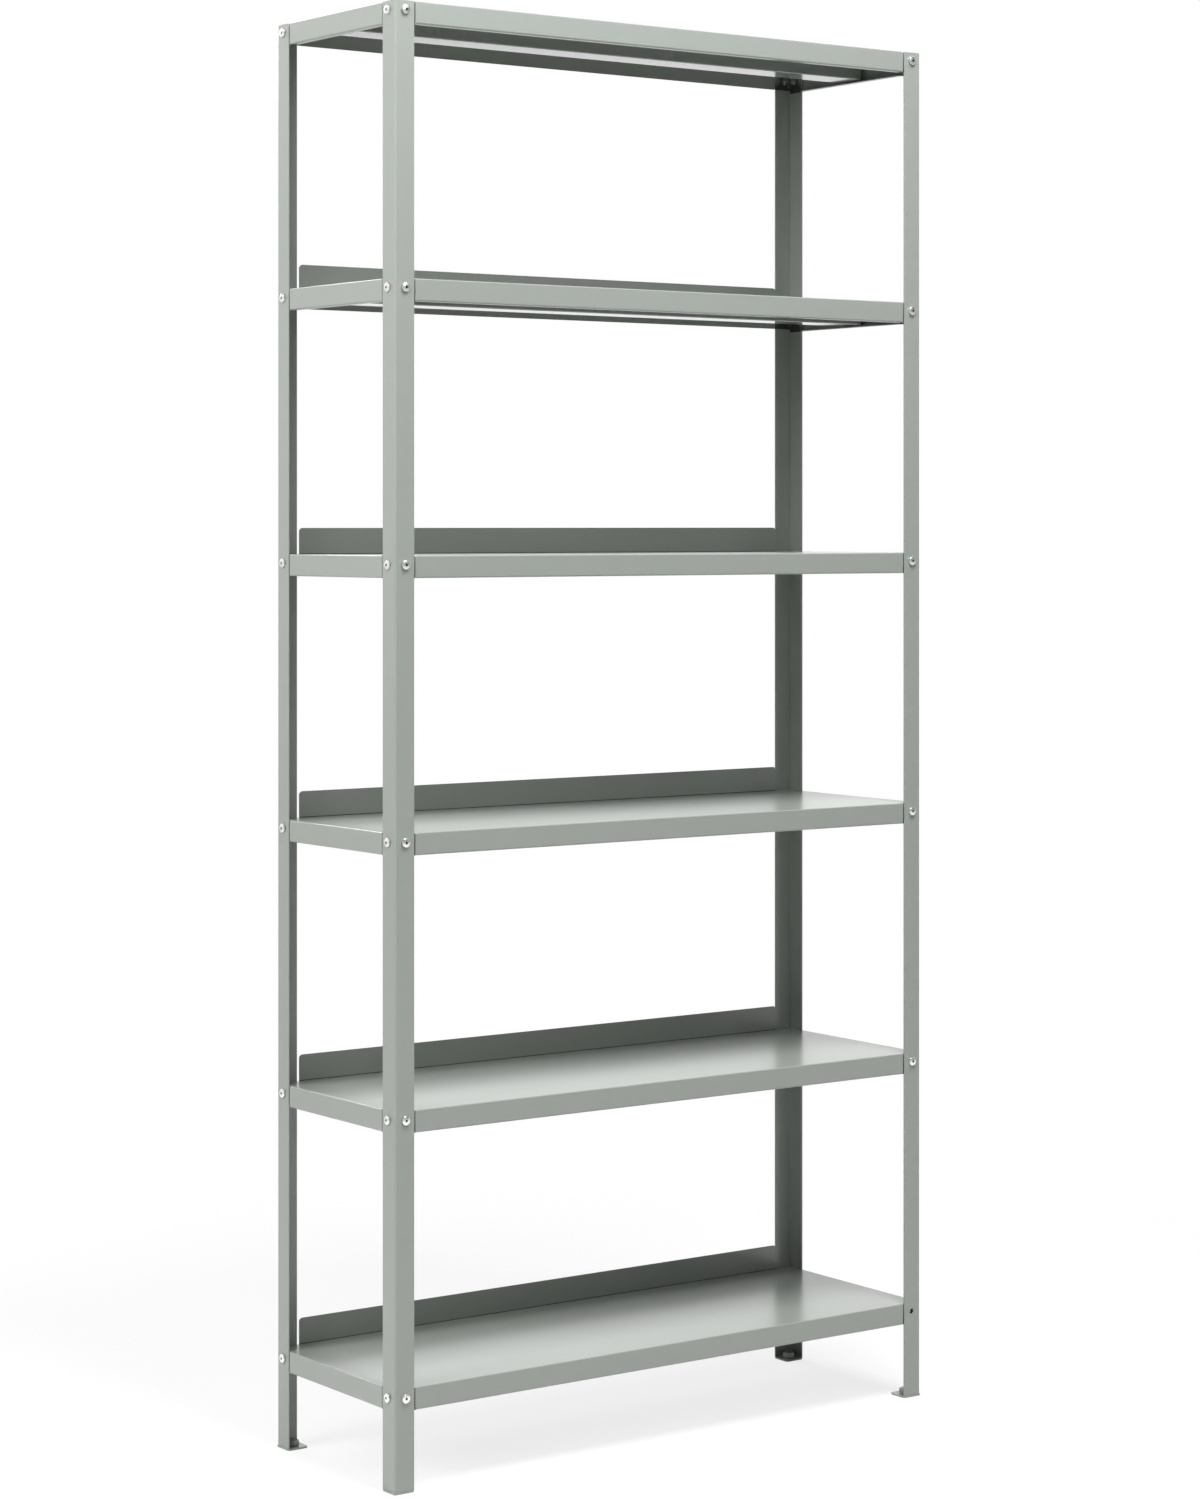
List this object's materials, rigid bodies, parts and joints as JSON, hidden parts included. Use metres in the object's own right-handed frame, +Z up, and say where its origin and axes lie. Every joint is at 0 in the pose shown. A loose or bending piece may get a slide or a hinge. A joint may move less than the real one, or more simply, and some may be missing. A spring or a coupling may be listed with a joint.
{
  "type": "steel shelving unit",
  "caption": "Free-standing steel shelving: pressed tray shelves with rear upstands, bolted between four angle posts that stand on small foot plates.",
  "frame": {"origin": "middle of the footprint, on the floor", "axes": "+Z up, +X to the right along the shelves, +Y from the open front to the upstands at the rear"},
  "size_m": [0.9074, 0.3074, 1.946],
  "materials": {
    "coating": "semi-gloss grey-green powder coating",
    "zinc": "bright zinc plating"
  },
  "bodies": {
    "root": {"post_front_left": "coating", "post_front_right": "coating", "post_rear_right": "coating", "post_rear_left": "coating", "shelf_1": "coating", "shelf_2": "coating", "shelf_3": "coating", "shelf_4": "coating", "shelf_5": "coating", "shelf_6": "coating", "bolt_1_front_left_front": "zinc", "bolt_1_front_left_side": "zinc", "bolt_1_front_right_side": "zinc", "bolt_1_front_right_front": "zinc", "bolt_1_rear_right_rear": "zinc", "bolt_1_rear_right_side": "zinc", "bolt_1_rear_left_side": "zinc", "bolt_1_rear_left_rear": "zinc", "bolt_2_front_left_front": "zinc", "bolt_2_front_left_side": "zinc", "bolt_2_front_right_side": "zinc", "bolt_2_front_right_front": "zinc", "bolt_2_rear_right_rear": "zinc", "bolt_2_rear_right_side": "zinc", "bolt_2_rear_left_side": "zinc", "bolt_2_rear_left_rear": "zinc", "bolt_3_front_left_front": "zinc", "bolt_3_front_left_side": "zinc", "bolt_3_front_right_side": "zinc", "bolt_3_front_right_front": "zinc", "bolt_3_rear_right_rear": "zinc", "bolt_3_rear_right_side": "zinc", "bolt_3_rear_left_side": "zinc", "bolt_3_rear_left_rear": "zinc", "bolt_4_front_left_front": "zinc", "bolt_4_front_left_side": "zinc", "bolt_4_front_right_side": "zinc", "bolt_4_front_right_front": "zinc", "bolt_4_rear_right_rear": "zinc", "bolt_4_rear_right_side": "zinc", "bolt_4_rear_left_side": "zinc", "bolt_4_rear_left_rear": "zinc", "bolt_5_front_left_front": "zinc", "bolt_5_front_left_side": "zinc", "bolt_5_front_right_side": "zinc", "bolt_5_front_right_front": "zinc", "bolt_5_rear_right_rear": "zinc", "bolt_5_rear_right_side": "zinc", "bolt_5_rear_left_side": "zinc", "bolt_5_rear_left_rear": "zinc", "bolt_6_front_left_front": "zinc", "bolt_6_front_left_side": "zinc", "bolt_6_front_right_side": "zinc", "bolt_6_rear_right_rear": "zinc", "bolt_6_rear_right_side": "zinc", "bolt_6_rear_left_side": "zinc", "bolt_6_rear_left_rear": "zinc"}
  },
  "joints": []
}
